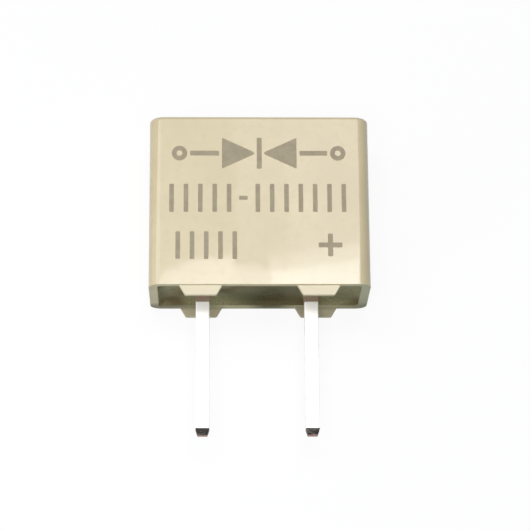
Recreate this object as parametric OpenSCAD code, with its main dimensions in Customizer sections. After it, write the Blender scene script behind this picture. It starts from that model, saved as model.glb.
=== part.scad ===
// Two-pin surge protector for a laser diode.
// A moulded box, open at the pin end, holds a small circuit board under potting resin.
// It lies on its back: X runs across the pins, Y away from their tips, Z out of the marked face.

/* [Case] */
// Width of the case, across the pins
body_w = 10.3; // [9.4:0.1:12]
// Height of the case, from its open rim to its closed end
body_h = 8.3; // [7.5:0.1:10]
// Depth of the case, from its back to its marked face
body_d = 4; // [3.6:0.1:5]
// Thickness of the closed end and the two narrow walls
wall = 0.42; // [0.34:0.02:0.5]
// Thickness of the two broad walls, which carry the standoffs
face_wall = 0.32; // [0.28:0.02:0.4]
// Radius of the four long edges
edge_r = 0.54; // [0.2:0.02:0.6]
// Radius of the closed end's two corners, seen on the marked face
corner_r = 0.22; // [0.15:0.01:0.6]
// Radius of the closed end's front and back edges
end_r = 0.16; // [0.08:0.01:0.3]
// Radius of the long corners inside the case
inner_r = 0.2; // [0.1:0.05:0.5]

/* [Standoffs] */
// Distance between the two standoffs on one wall
tab_spacing = 5.46; // [5:0.02:6.4]
// Width of a standoff at its foot
tab_w = 1.46; // [1:0.02:2]
// Height of a standoff, from the rim to its foot
tab_h = 0.48; // [0.3:0.02:0.9]
// Slope of a standoff's flanks, in degrees from upright
tab_angle = 30; // [10:1:40]
// Set-back of a standoff from the outside of its wall
tab_set = 0.1; // [0.05:0.01:0.18]
// Radius of a standoff's lower corners
tab_r = 0.12; // [0.05:0.01:0.2]

/* [Pins] */
// Distance between the two pins
pin_pitch = 5.08; // [4.9:0.02:5.5]
// Side of a pin's square section
pin_size = 0.64; // [0.5:0.02:0.7]
// Length of a pin past the standoffs' feet
pin_out = 6.2; // [3:0.1:12]
// Sideways place of the board and its pins in the case
pin_shift = -0.11; // [-0.2:0.01:0.2]
// Length of a pin's bevelled tip
tip_l = 0.3; // [0.1:0.05:0.6]
// Depth of the bevel on each side of the tip
tip_cut = 0.09; // [0.02:0.01:0.15]
// Length of a pin that lies on the board
pin_lap = 1.7; // [1:0.1:2]

/* [Potting] */
// Depth of the resin's surface inside the rim
recess = 0.32; // [0.1:0.02:0.4]
// Resin between its surface and the board's near edge
cover = 0.4; // [0.2:0.02:0.5]
// Resin between the board's far edge and the closed end
end_gap = 0.3; // [0.1:0.02:0.4]

/* [Circuit board] */
// Thickness of the bare board
board_t = 0.6; // [0.4:0.1:0.8]
// Clearance between the board's sides and the case, with the pins centred
board_gap = 0.53; // [0.4:0.01:0.6]
// Thickness of the copper
copper_t = 0.07; // [0.035:0.005:0.105]
// Bare margin between the copper and the board's edges
copper_gap = 0.2; // [0.1:0.01:0.25]
// Copper that shows around a soldered terminal
pad_over = 0.1; // [0.05:0.01:0.12]
// Spread of the solder beside a pin
solder_w = 0.28; // [0.15:0.01:0.35]
// Rise of the solder up a pin's side
solder_h = 0.45; // [0.2:0.01:0.48]

/* [Shunt transistor] */
// Length of the moulded body
transistor_l = 2.9; // [2.7:0.1:3]
// Width of the moulded body
transistor_w = 1.3; // [1.2:0.1:1.4]
// Height of the moulded body
transistor_h = 0.95; // [0.8:0.05:1.1]
// Distance between the two leads on one side
lead_pitch = 1.9; // [1.7:0.1:2]
// Width of a lead
lead_w = 0.42; // [0.36:0.02:0.5]
// Thickness of a lead
lead_t = 0.12; // [0.08:0.01:0.15]
// Reach of a lead past the body
lead_out = 0.5; // [0.44:0.01:0.56]
// Length of a lead's flat foot
lead_foot = 0.28; // [0.2:0.01:0.32]
// Gap between the body and the copper
stand = 0.07; // [0.04:0.01:0.1]

/* [Reverse diode] */
// Length over the terminals
reverse_l = 3.5; // [3.3:0.05:3.6]
// Length of the moulded body
reverse_body = 2.7; // [2.5:0.05:2.8]
// Width of the moulded body
reverse_w = 1.6; // [1.4:0.05:1.8]
// Height of the moulded body
reverse_h = 0.95; // [0.8:0.05:1.2]
// Length of a terminal plate
reverse_foot = 0.75; // [0.7:0.01:0.9]
// Width of a terminal plate
reverse_lead = 0.95; // [0.7:0.05:1.2]

/* [Clamp diode] */
// Length over the terminals
clamp_l = 2.5; // [2.4:0.02:2.6]
// Length of the moulded body
clamp_body = 1.7; // [1.6:0.02:1.8]
// Width of the moulded body
clamp_w = 1.25; // [1.1:0.05:1.35]
// Height of the moulded body
clamp_h = 0.8; // [0.7:0.05:1]
// Length of a terminal plate
clamp_foot = 0.6; // [0.56:0.01:0.64]
// Width of a terminal plate
clamp_lead = 0.36; // [0.3:0.02:0.5]

/* [Capacitor] */
// Length over the end caps
capacitor_l = 2; // [1.8:0.1:2.1]
// Width
capacitor_w = 1.25; // [1.2:0.05:1.3]
// Height
capacitor_h = 0.85; // [0.6:0.05:1.1]
// Length of an end cap
capacitor_end = 0.42; // [0.3:0.02:0.5]

/* [Resistor] */
// Length over the end caps
resistor_l = 1.6; // [1.4:0.1:1.7]
// Width
resistor_w = 0.8; // [0.7:0.05:0.85]
// Height
resistor_h = 0.45; // [0.35:0.05:0.6]
// Length of an end cap
resistor_end = 0.3; // [0.2:0.02:0.4]

/* [Hidden] */
$fn = 48;

// Inset of a moulded package's sides at its top and bottom
draft = 0.07;
// Metal of an end cap around its ceramic
cap_t = 0.04;
// Thickness of the diodes' terminal plates
plate_t = 0.13;
// Thickness of the resistive film, and the bare ceramic around it
film_t = 0.03;
film_gap = 0.06;

// The rim's place along Y: the box around case and pins has its middle at the origin
rim_y = (tab_h + pin_out - body_h) / 2;

// The space inside the case
cavity_w = body_w - 2 * wall;
cavity_d = body_d - 2 * face_wall;
cavity_h = body_h - wall;

// Width of a standoff where it leaves the rim
tab_root = tab_w + 2 * tab_h * tan(tab_angle);

// The board: its front carries the copper, and the pins lie on the copper
board_w = cavity_w - 2 * board_gap;
board_y = recess + cover;
board_h = cavity_h - end_gap - board_y;
board_top = body_d / 2 - pin_size / 2 - copper_t;
copper_top = board_top + copper_t;

// Copper edges: x from the middle between the pins, y from the rim
copper_x = board_w / 2 - copper_gap;
copper_y = board_y + copper_gap;
bus_w = max(clamp_foot, capacitor_end, resistor_end) + 2 * pad_over;

// Three rows of parts, counted away from the rim, share out the board's height
rows_h = pad_over + reverse_w + transistor_w + 2 * lead_out + capacitor_w;
row_gap = (board_h - 2 * copper_gap - rows_h) / 2;
reverse_y = copper_y + pad_over + reverse_w / 2;
collector_y = reverse_y + reverse_w / 2 + row_gap;
transistor_y = collector_y + lead_out + transistor_w / 2;
emitter_y = transistor_y + transistor_w / 2 + lead_out;
chip_y = emitter_y + row_gap + capacitor_w / 2;
clamp_y = (collector_y + lead_foot + pad_over + chip_y - capacitor_w / 2) / 2;

// Parts side by side: chips and clamp diode on the buses, the transistor midway between
part_x = copper_x - pad_over;
clamp_x = -part_x + clamp_l / 2;
transistor_x = (clamp_x + clamp_l / 2 + copper_x - bus_w) / 2;
emitter_x = transistor_x + lead_pitch / 2;
base_x = transistor_x - lead_pitch / 2;
capacitor_x = -part_x + capacitor_l / 2;
resistor_x = part_x - resistor_l / 2;

// Moves a piece from the rim's own frame to its place
module from_rim() {
    translate([0, rim_y, 0])
        children();
}

// Moves a piece onto the copper: x from the middle between the pins, y from the rim
module on_copper(x, y) {
    translate([pin_shift + x, rim_y + y, copper_top])
        children();
}

// Rectangle with four round corners, centred
module round_rect(w, h, r) {
    square([w - 2 * r, h], center = true);
    square([w, h - 2 * r], center = true);
    for (x = [-1, 1], y = [-1, 1])
        translate([x * (w / 2 - r), y * (h / 2 - r)])
            circle(r);
}

// Side view of the case: square at the rim, round at the closed end
module end_outline(w, r) {
    translate([-w / 2, 0])
        square([w, body_h - r]);
    translate([-w / 2 + r, 0])
        square([w - 2 * r, body_h]);
    for (x = [-1, 1])
        translate([x * (w / 2 - r), body_h - r])
            circle(r);
}

// The case's outside: round along its long edges and over its closed end
module outer_block() {
    intersection() {
        translate([0, body_h, body_d / 2])
            rotate([90, 0, 0])
                linear_extrude(body_h)
                    round_rect(body_w, body_d, edge_r);
        linear_extrude(body_d)
            end_outline(body_w, corner_r);
        translate([0, 0, body_d / 2])
            rotate([0, 90, 0])
                linear_extrude(body_w, center = true)
                    end_outline(body_d, end_r);
    }
}

// A length of the space inside the case, between two heights from the rim
module inner_block(from, to) {
    translate([0, to, body_d / 2])
        rotate([90, 0, 0])
            linear_extrude(to - from)
                round_rect(cavity_w, cavity_d, inner_r);
}

// Outline of a standoff: a trapezoid with round lower corners, rooted in the wall
module tab_outline() {
    run = tab_r * tan(45 - tab_angle / 2);
    flank_x = tab_w / 2 + run * sin(tab_angle);
    flank_y = -tab_h + run * cos(tab_angle);
    polygon([
        [-tab_root / 2, wall],
        [-tab_root / 2, 0],
        [-flank_x, flank_y],
        [-tab_w / 2 + run, -tab_h],
        [tab_w / 2 - run, -tab_h],
        [flank_x, flank_y],
        [tab_root / 2, 0],
        [tab_root / 2, wall]
    ]);
    for (x = [-1, 1])
        translate([x * (tab_w / 2 - run), -tab_h + tab_r])
            circle(tab_r);
}

// The four standoffs, two on the front wall and two on the back one
module standoffs() {
    for (x = [-1, 1], z = [tab_set, body_d - face_wall])
        translate([x * tab_spacing / 2, 0, z])
            linear_extrude(face_wall - tab_set)
                tab_outline();
}

module case() {
    color("#dccfae")
        from_rim() {
            difference() {
                outer_block();
                inner_block(-tab_h, cavity_h);
            }
            standoffs();
        }
}

// The resin fills the case up to its surface, around all that it holds
module potting() {
    color("#5f5c45")
        difference() {
            from_rim()
                inner_block(recess, cavity_h);
            circuit_board();
            anode_track();
            cathode_track();
            base_track();
            anode_pin();
            cathode_pin();
            anode_solder();
            cathode_solder();
            transistor_body();
            transistor_emitter();
            transistor_base();
            transistor_collector();
            reverse_diode_body();
            reverse_diode_anode();
            reverse_diode_cathode();
            clamp_diode_body();
            clamp_diode_anode();
            clamp_diode_cathode();
            capacitor_body();
            capacitor_base_end();
            capacitor_cathode_end();
            resistor_body();
            resistor_film();
            resistor_anode_end();
            resistor_base_end();
        }
}

module circuit_board() {
    color("#3f7a4a")
        translate([pin_shift - board_w / 2, rim_y + board_y, board_top - board_t])
            cube([board_w, board_h, board_t]);
}

// Outline of a pin along Y, with the bevel at its free end
module pin_outline() {
    tip = -tab_h - pin_out;
    top = board_y + pin_lap;
    polygon([
        [-pin_size / 2 + tip_cut, tip],
        [pin_size / 2 - tip_cut, tip],
        [pin_size / 2, tip + tip_l],
        [pin_size / 2, top],
        [-pin_size / 2, top],
        [-pin_size / 2, tip + tip_l]
    ]);
}

// A square pin: one outline seen from the front, the same from the side
module pin(side) {
    translate([pin_shift + side * pin_pitch / 2, rim_y, body_d / 2])
        intersection() {
            linear_extrude(pin_size, center = true)
                pin_outline();
            rotate([0, 90, 0])
                linear_extrude(pin_size, center = true)
                    pin_outline();
        }
}

module anode_pin() {
    color("#d9d9d6")
        pin(1);
}

module cathode_pin() {
    color("#d9d9d6")
        pin(-1);
}

// Solder along both sides of a pin and past its end, sloping down to the copper
module pin_solder(side) {
    half = pin_size / 2;
    length = pin_lap - copper_gap - pad_over + solder_w;
    difference() {
        on_copper(side * pin_pitch / 2, copper_y + pad_over + length)
            rotate([90, 0, 0])
                linear_extrude(length)
                    polygon([
                        [-half - solder_w, 0],
                        [half + solder_w, 0],
                        [half + solder_w / 5, solder_h],
                        [-half - solder_w / 5, solder_h]
                    ]);
        pin(side);
    }
}

module anode_solder() {
    color("#b8bcc0")
        pin_solder(1);
}

module cathode_solder() {
    color("#b8bcc0")
        pin_solder(-1);
}

// A straight strip of copper between two corners
module strip(x0, y0, x1, y1) {
    translate([pin_shift + x0, rim_y + y0, board_top])
        cube([x1 - x0, y1 - y0, copper_t]);
}

// Copper that carries a pin, on the side given as 1 or -1, and reaches the board's side
module pin_pad(side) {
    inner = pin_pitch / 2 - pin_size / 2 - solder_w - pad_over;
    far = board_y + pin_lap + solder_w + pad_over;
    strip(side > 0 ? inner : -copper_x, copper_y, side > 0 ? copper_x : -inner, far);
}

// Right pin, reverse diode's cathode, emitter and resistor
module anode_track() {
    bus = copper_x - bus_w;
    plate_edge = reverse_l / 2 - reverse_foot - pad_over;
    branch = emitter_y - lead_foot - pad_over;
    color("#b87333")
        union() {
            pin_pad(1);
            strip(plate_edge, copper_y, copper_x, reverse_y + reverse_w / 2);
            strip(bus, copper_y, copper_x, chip_y + resistor_w / 2 + pad_over);
            strip(emitter_x - lead_w / 2 - pad_over, branch, copper_x, emitter_y + pad_over);
        }
}

// Left pin, reverse diode's anode, collector, clamp diode and capacitor
module cathode_track() {
    bus = -copper_x + bus_w;
    plate_edge = -reverse_l / 2 + reverse_foot + pad_over;
    branch = collector_y + lead_foot + pad_over;
    color("#b87333")
        union() {
            pin_pad(-1);
            strip(-copper_x, copper_y, plate_edge, branch);
            strip(-copper_x, copper_y, bus, chip_y + capacitor_w / 2);
            strip(-copper_x, collector_y - pad_over, transistor_x + lead_w / 2 + pad_over, branch);
        }
}

// Transistor's base, clamp diode, capacitor and resistor
module base_track() {
    low = clamp_y - clamp_lead / 2 - pad_over;
    high = chip_y + resistor_w / 2 + pad_over;
    left = capacitor_x + capacitor_l / 2 - capacitor_end - pad_over;
    right = resistor_x - resistor_l / 2 + resistor_end + pad_over;
    column = base_x + lead_w / 2 + pad_over;
    plate_edge = clamp_x + clamp_l / 2 - clamp_foot - pad_over;
    color("#b87333")
        union() {
            strip(base_x - lead_w / 2 - pad_over, low, column, high);
            strip(left, chip_y - resistor_w / 2 - pad_over, right, high);
            strip(plate_edge, low, column, clamp_y + clamp_lead / 2 + pad_over);
        }
}

// Outline of a moulded package: flat land at mid height, drafted above and below
module drafted(w, h, land) {
    polygon([
        [-w / 2 + draft, 0],
        [w / 2 - draft, 0],
        [w / 2, (h - land) / 2],
        [w / 2, (h + land) / 2],
        [w / 2 - draft, h],
        [-w / 2 + draft, h],
        [-w / 2, (h + land) / 2],
        [-w / 2, (h - land) / 2]
    ]);
}

// A moulded package that stands on z = 0
module package(l, w, h, land) {
    intersection() {
        rotate([90, 0, 0])
            linear_extrude(w, center = true)
                drafted(l, h, land);
        rotate([90, 0, 90])
            linear_extrude(l, center = true)
                drafted(w, h, land);
    }
}

// A bent lead that leaves a package towards +Y at mid height and stands on its foot
module bent_lead() {
    low = stand + (transistor_h - lead_t) / 2;
    knee = (lead_out - lead_foot) / 3;
    rotate([90, 0, 90])
        linear_extrude(lead_w, center = true)
            polygon([
                [0, low],
                [knee, low],
                [lead_out - lead_foot - knee / 2, 0],
                [lead_out, 0],
                [lead_out, lead_t],
                [lead_out - lead_foot, lead_t],
                [knee * 1.5, low + lead_t],
                [0, low + lead_t]
            ]);
}

module transistor_body() {
    color("#26262a")
        on_copper(transistor_x, transistor_y)
            translate([0, 0, stand])
                package(transistor_l, transistor_w, transistor_h, lead_t);
}

module transistor_emitter() {
    color("#c9cbcc")
        on_copper(emitter_x, transistor_y + transistor_w / 2)
            bent_lead();
}

module transistor_base() {
    color("#c9cbcc")
        on_copper(base_x, transistor_y + transistor_w / 2)
            bent_lead();
}

module transistor_collector() {
    color("#c9cbcc")
        on_copper(transistor_x, transistor_y - transistor_w / 2)
            rotate([0, 0, 180])
                bent_lead();
}

// One terminal plate of a flat diode, on the side given as 1 or -1
module plate(l, foot, lead, side) {
    translate([side * (l - foot) / 2, 0, plate_t / 2])
        cube([foot, lead, plate_t], center = true);
}

module reverse_diode_body() {
    color("#2b2b2e")
        on_copper(0, reverse_y)
            translate([0, 0, plate_t])
                package(reverse_body, reverse_w, reverse_h, plate_t);
}

module reverse_diode_anode() {
    color("#c9cbcc")
        on_copper(0, reverse_y)
            plate(reverse_l, reverse_foot, reverse_lead, -1);
}

module reverse_diode_cathode() {
    color("#c9cbcc")
        on_copper(0, reverse_y)
            plate(reverse_l, reverse_foot, reverse_lead, 1);
}

module clamp_diode_body() {
    color("#2b2b2e")
        on_copper(clamp_x, clamp_y)
            translate([0, 0, plate_t])
                package(clamp_body, clamp_w, clamp_h, plate_t);
}

module clamp_diode_anode() {
    color("#c9cbcc")
        on_copper(clamp_x, clamp_y)
            plate(clamp_l, clamp_foot, clamp_lead, -1);
}

module clamp_diode_cathode() {
    color("#c9cbcc")
        on_copper(clamp_x, clamp_y)
            plate(clamp_l, clamp_foot, clamp_lead, 1);
}

// Ceramic of a chip part: it runs through both end caps, inside their metal
module chip_core(l, w, h) {
    translate([0, 0, h / 2])
        cube([l - 2 * cap_t, w - 2 * cap_t, h - 2 * cap_t], center = true);
}

// Cup-shaped end cap of a chip part, on the side given as 1 or -1
module chip_end(l, w, h, end, side) {
    difference() {
        translate([side * (l - end) / 2, 0, h / 2])
            cube([end, w, h], center = true);
        chip_core(l, w, h);
    }
}

module capacitor_body() {
    color("#b59a72")
        on_copper(capacitor_x, chip_y)
            chip_core(capacitor_l, capacitor_w, capacitor_h);
}

module capacitor_base_end() {
    color("#c9cbcc")
        on_copper(capacitor_x, chip_y)
            chip_end(capacitor_l, capacitor_w, capacitor_h, capacitor_end, 1);
}

module capacitor_cathode_end() {
    color("#c9cbcc")
        on_copper(capacitor_x, chip_y)
            chip_end(capacitor_l, capacitor_w, capacitor_h, capacitor_end, -1);
}

module resistor_body() {
    color("#e6e4de")
        on_copper(resistor_x, chip_y)
            chip_core(resistor_l, resistor_w, resistor_h);
}

// The resistive film on the ceramic, between the end caps
module resistor_film() {
    film_l = resistor_l - 2 * resistor_end - 2 * film_gap;
    film_w = resistor_w - 2 * cap_t - 2 * film_gap;
    color("#1d1d1f")
        on_copper(resistor_x, chip_y)
            translate([0, 0, resistor_h - cap_t + film_t / 2])
                cube([film_l, film_w, film_t], center = true);
}

module resistor_anode_end() {
    color("#c9cbcc")
        on_copper(resistor_x, chip_y)
            chip_end(resistor_l, resistor_w, resistor_h, resistor_end, 1);
}

module resistor_base_end() {
    color("#c9cbcc")
        on_copper(resistor_x, chip_y)
            chip_end(resistor_l, resistor_w, resistor_h, resistor_end, -1);
}

case();
potting();
circuit_board();
anode_pin();
cathode_pin();
anode_solder();
cathode_solder();
anode_track();
cathode_track();
base_track();
transistor_body();
transistor_emitter();
transistor_base();
transistor_collector();
reverse_diode_body();
reverse_diode_anode();
reverse_diode_cathode();
clamp_diode_body();
clamp_diode_anode();
clamp_diode_cathode();
capacitor_body();
capacitor_base_end();
capacitor_cathode_end();
resistor_body();
resistor_film();
resistor_anode_end();
resistor_base_end();
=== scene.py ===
"""Visual model of a two-pin laser diode surge protector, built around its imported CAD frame.

The part lies on its back: X runs across the pins, Y away from their tips, and Z out of the
marked face. Sizes are in millimetres and are turned to metres where a mesh is made.
"""

import logging
import math
from dataclasses import dataclass, field
from enum import Enum
from typing import Any, Callable, Sequence

import bmesh
import bpy
from mathutils import Matrix, Vector


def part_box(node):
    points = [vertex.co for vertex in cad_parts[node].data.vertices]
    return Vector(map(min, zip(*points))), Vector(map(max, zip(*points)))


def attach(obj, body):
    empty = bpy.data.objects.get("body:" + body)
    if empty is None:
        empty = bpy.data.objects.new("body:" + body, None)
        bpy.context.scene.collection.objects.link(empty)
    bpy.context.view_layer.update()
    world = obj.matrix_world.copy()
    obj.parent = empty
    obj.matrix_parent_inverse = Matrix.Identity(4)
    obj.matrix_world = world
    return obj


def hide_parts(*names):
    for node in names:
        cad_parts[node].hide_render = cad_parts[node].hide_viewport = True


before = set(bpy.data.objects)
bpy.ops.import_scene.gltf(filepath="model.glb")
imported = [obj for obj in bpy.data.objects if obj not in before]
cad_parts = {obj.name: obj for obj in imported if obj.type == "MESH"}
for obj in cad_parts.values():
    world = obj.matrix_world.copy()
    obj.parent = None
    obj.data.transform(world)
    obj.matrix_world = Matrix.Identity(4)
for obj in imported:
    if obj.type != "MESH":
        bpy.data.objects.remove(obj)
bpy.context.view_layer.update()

MM = 0.001
# Distance within which points are merged, in metres
WELD = 1e-7
# Distance within which a face or an edge counts as at a place, in millimetres
NEAR = 0.01
# Cosine above which two directions count as the same
ALIGNED = 0.999
# Angle in degrees above which an edge is sharp and gets a soft edge of this many faces
SHARP = 35.0
SOFT_SEGMENTS = 3
BODY = "root"
log = logging.getLogger("surge_protector")

Socket = bpy.types.NodeSocket
Tree = bpy.types.NodeTree
Material = bpy.types.Material
Links = dict[str | int, Socket]
Triple = Sequence[float]
Pair = tuple[float, float]
Test = Callable[[Vector, Vector], bool]


class Way(Enum):
    """Directions along the part, as unit vectors."""

    RIGHT = (1.0, 0.0, 0.0)
    LEFT = (-1.0, 0.0, 0.0)
    INWARD = (0.0, 1.0, 0.0)
    OUTWARD = (0.0, -1.0, 0.0)
    UP = (0.0, 0.0, 1.0)

    def faced_by(self, _: Vector, normal: Vector) -> bool:
        """Tell whether a face with this normal looks this way, at any place."""
        return normal.dot(Vector(self.value)) > ALIGNED

    def follows(self, _: Vector, edge: Vector) -> bool:
        """Tell whether an edge runs this way or its opposite, at any place."""
        return abs(edge.dot(Vector(self.value))) > ALIGNED


class Pole(Enum):
    """The two pins, each by the name of its CAD node."""

    ANODE = "anode_pin"
    CATHODE = "cathode_pin"


class Slot(Enum):
    """The record's material slots that new pieces take their finish from."""

    CASE = "case_plastic"
    RESIN = "potting_resin"
    PIN = "pin_tin"


# Colours and nodes


def linear(hex_code: str) -> tuple[float, float, float, float]:
    """Turn an sRGB colour into the linear one that a shader takes.

    Args:
        hex_code: The colour as six hex digits after a hash sign.

    Returns:
        Linear red, green and blue, and an alpha of one.
    """
    shares = [int(hex_code[i:i + 2], 16) / 255 for i in (1, 3, 5)]
    bent = [s / 12.92 if s <= 0.04045 else ((s + 0.055) / 1.055) ** 2.4 for s in shares]
    return (*bent, 1.0)


def add_node(tree: Tree, kind: str, settings: dict[Any, Any] | None = None,
             links: Links | None = None) -> bpy.types.Node:
    """Add a node to a tree, with its settings and the links into it.

    Args:
        tree: The node tree that gets the node.
        kind: The node's type.
        settings: Values by the name of a property, or by the name or number of an input.
        links: Sockets to link from, by the name or number of the input that they go into.

    Returns:
        The new node.
    """
    node = tree.nodes.new(kind)
    for key, value in (settings or {}).items():
        if isinstance(key, str) and hasattr(node, key):
            setattr(node, key, value)
        else:
            node.inputs[key].default_value = value
    for key, socket in (links or {}).items():
        tree.links.new(socket, node.inputs[key])
    return node


def empty_tree(owner: Material | bpy.types.World) -> Tree:
    """Give a material or a world a node tree without nodes.

    Args:
        owner: The material or the world.

    Returns:
        The empty tree.
    """
    owner.use_nodes = True
    owner.node_tree.nodes.clear()
    return owner.node_tree


def feeding(target: Socket, key: str | int) -> Links:
    """Give what feeds an input as the link into another one, or nothing where it is free."""
    return {key: link.from_socket for link in target.links}


# Layers of a finish


@dataclass(frozen=True, kw_only=True)
class Layer:
    """A pattern over a surface, and what it changes there.

    The colour is mixed in between the pattern's two end values. The gloss is how far the
    roughness goes to both sides, and the height is that of the relief, in millimetres.
    """

    colour: str | None = None
    ends: Pair = (0.35, 0.65)
    gloss: float = 0.0
    gloss_ends: Pair = (0.3, 0.7)
    height: float = 0.0

    def share(self, tree: Tree, place: Socket) -> Socket:
        """Make the pattern, from 0 to 1; each kind of layer has its own."""
        raise NotImplementedError

    def lay(self, tree: Tree, shader: bpy.types.Node, place: Socket) -> None:
        """Lay the pattern over what feeds the shader; a coat follows only the first relief.

        Args:
            tree: The material's node tree.
            shader: The shader that it feeds.
            place: Object coordinates.
        """
        share = self.share(tree, place)
        base, rough, normal, coat = (shader.inputs[name] for name in (
            "Base Color", "Roughness", "Normal", "Coat Normal"))
        if self.colour is not None:
            amount = add_node(tree, "ShaderNodeMapRange", {
                "From Min": self.ends[0], "From Max": self.ends[1]}, {"Value": share})
            mixed = add_node(tree, "ShaderNodeMix", {
                "data_type": "RGBA", 6: tuple(base.default_value), 7: linear(self.colour),
            }, {0: amount.outputs["Result"], **feeding(base, 6)})
            tree.links.new(mixed.outputs[2], base)
        if self.gloss > 0:
            middle = rough.default_value
            dulled = add_node(tree, "ShaderNodeMapRange", {
                "From Min": self.gloss_ends[0], "From Max": self.gloss_ends[1],
                "To Min": middle - self.gloss, "To Max": middle + self.gloss,
            }, {"Value": share})
            tree.links.new(dulled.outputs["Result"], rough)
        if self.height > 0:
            bump = add_node(tree, "ShaderNodeBump", {
                "Strength": 1.0, "Distance": self.height * MM,
            }, {"Height": share, **feeding(normal, "Normal")})
            tree.links.new(bump.outputs["Normal"], normal)
            if not coat.is_linked:
                tree.links.new(bump.outputs["Normal"], coat)


@dataclass(frozen=True)
class Cloud(Layer):
    """Cloudy spots of a real size in millimetres, the same all round or along X, Y and Z.

    The detail is how many finer layers lie over the spots, and the start is where in the
    endless pattern the part lies, in spots.
    """

    size: float | tuple[float, float, float]
    detail: float = 2.0
    start: Triple = (0.0, 0.0, 0.0)
    fineness: float = 0.55

    def share(self, tree: Tree, place: Socket) -> Socket:
        """Make the spots from a noise.

        Args:
            tree: The material's node tree.
            place: Object coordinates.

        Returns:
            A socket that runs from 0 to 1 over the spots.
        """
        sizes = self.size if isinstance(self.size, tuple) else (self.size,) * 3
        scaled = add_node(tree, "ShaderNodeMapping", {
            "Location": self.start, "Scale": [1 / (size * MM) for size in sizes],
        }, {"Vector": place})
        return add_node(tree, "ShaderNodeTexNoise", {
            "Scale": 1.0, "Detail": self.detail, "Roughness": self.fineness,
        }, {"Vector": scaled.outputs["Vector"]}).outputs["Fac"]


@dataclass(frozen=True)
class Reach:
    """How a laid colour or the table's shadow depends on the distance from a point, in
    millimetres.

    The axes are how much a step along X, Y and Z counts. It is gone at the first of the two
    ends and reaches its full share at the second.
    """

    axes: Triple
    ends: Pair
    middle: Triple = (0.0, 0.0, 0.0)
    full: float = 1.0

    def share(self, tree: Tree, place: Socket) -> Socket:
        """Measure the distance and turn it into a share.

        Args:
            tree: The material's node tree.
            place: Object coordinates.

        Returns:
            A socket that runs from 0 to the full share.
        """
        shift = [-at * axis * MM for at, axis in zip(self.middle, self.axes)]
        moved = add_node(tree, "ShaderNodeMapping", {"Location": shift, "Scale": self.axes},
                         {"Vector": place})
        far = add_node(tree, "ShaderNodeVectorMath", {"operation": "LENGTH"},
                       {0: moved.outputs["Vector"]})
        return add_node(tree, "ShaderNodeMapRange", {
            "From Min": self.ends[0] * MM, "From Max": self.ends[1] * MM, "To Max": self.full,
        }, {"Value": far.outputs["Value"]}).outputs["Result"]


@dataclass(frozen=True)
class ToneAndPaintedLight(Layer):
    """A colour laid where all its reaches are: painted light and shade, and a darker tone."""

    reaches: tuple[Reach, ...]
    ends: Pair = field(default=(0.0, 1.0), kw_only=True)

    def share(self, tree: Tree, place: Socket) -> Socket:
        """Multiply the reaches.

        Args:
            tree: The material's node tree.
            place: Object coordinates.

        Returns:
            A socket that runs from 0 to 1.
        """
        made, *others = [reach.share(tree, place) for reach in self.reaches]
        for other in others:
            made = add_node(tree, "ShaderNodeMath", {"operation": "MULTIPLY"},
                            {0: made, 1: other}).outputs["Value"]
        return made


@dataclass(frozen=True)
class Weave(Layer):
    """Two crossed sets of threads with a real pitch, in millimetres.

    The wave pitch is the distance between two bands of the wave texture at scale 1.
    """

    pitch: float
    wave_pitch: float = 0.314

    def share(self, tree: Tree, place: Socket) -> Socket:
        """Cross two sets of bands.

        Args:
            tree: The material's node tree.
            place: Object coordinates.

        Returns:
            A socket that runs from 0 to 1, strongest where two threads cross.
        """
        scale = self.wave_pitch / (self.pitch * MM)
        threads = {number: add_node(tree, "ShaderNodeTexWave", {
            "bands_direction": way, "Scale": scale}, {"Vector": place}).outputs["Fac"]
            for number, way in enumerate("XY")}
        return add_node(tree, "ShaderNodeMath", {"operation": "MULTIPLY"},
                        threads).outputs["Value"]


# Finishes


Layers = tuple[Layer, ...]


@dataclass(frozen=True)
class Finish:
    """What all finishes share: a body colour, a surface, a clear skin and their layers."""

    name: str = "plain"
    colour: str = "#808080"
    roughness: float = 0.5
    ior: float = 1.5
    metallic: float = 0.0
    shine: float = 0.5
    skin: float = 0.0
    skin_roughness: float = 0.03
    layers: Layers = ()

    def material(self) -> Material:
        """Make the finish's material, with its layers on Object coordinates.

        Returns:
            The new material.
        """
        made = bpy.data.materials.new(self.name)
        made.diffuse_color = linear(self.colour)
        tree = empty_tree(made)
        place = add_node(tree, "ShaderNodeTexCoord").outputs["Object"]
        shader = add_node(tree, "ShaderNodeBsdfPrincipled", {
            "Base Color": linear(self.colour), "Roughness": self.roughness,
            "Metallic": self.metallic, "IOR": self.ior, "Specular IOR Level": self.shine,
            "Coat Weight": self.skin, "Coat Roughness": self.skin_roughness,
        })
        for layer in self.layers:
            layer.lay(tree, shader, place)
        add_node(tree, "ShaderNodeOutputMaterial", links={"Surface": shader.outputs["BSDF"]})
        return made


def melt_flow(clouds: str, mottle: str) -> Layers:
    """Give the clouds and the mottle of a melt's flow, the skin's waves and its pores.

    Args:
        clouds: Colour of the clouds.
        mottle: Colour of the mottle.

    Returns:
        The layers, from the lowest.
    """
    return (
        Cloud(2.4, detail=3.0, colour=clouds),
        Cloud(0.45, detail=1.0, colour=mottle, ends=(0.5, 0.85)),
        Cloud(3.2, detail=0.0, start=(38.37, 19.35, 22.98), height=0.015),
        Cloud(0.07, gloss=0.05, height=0.0006),
    )


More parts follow.
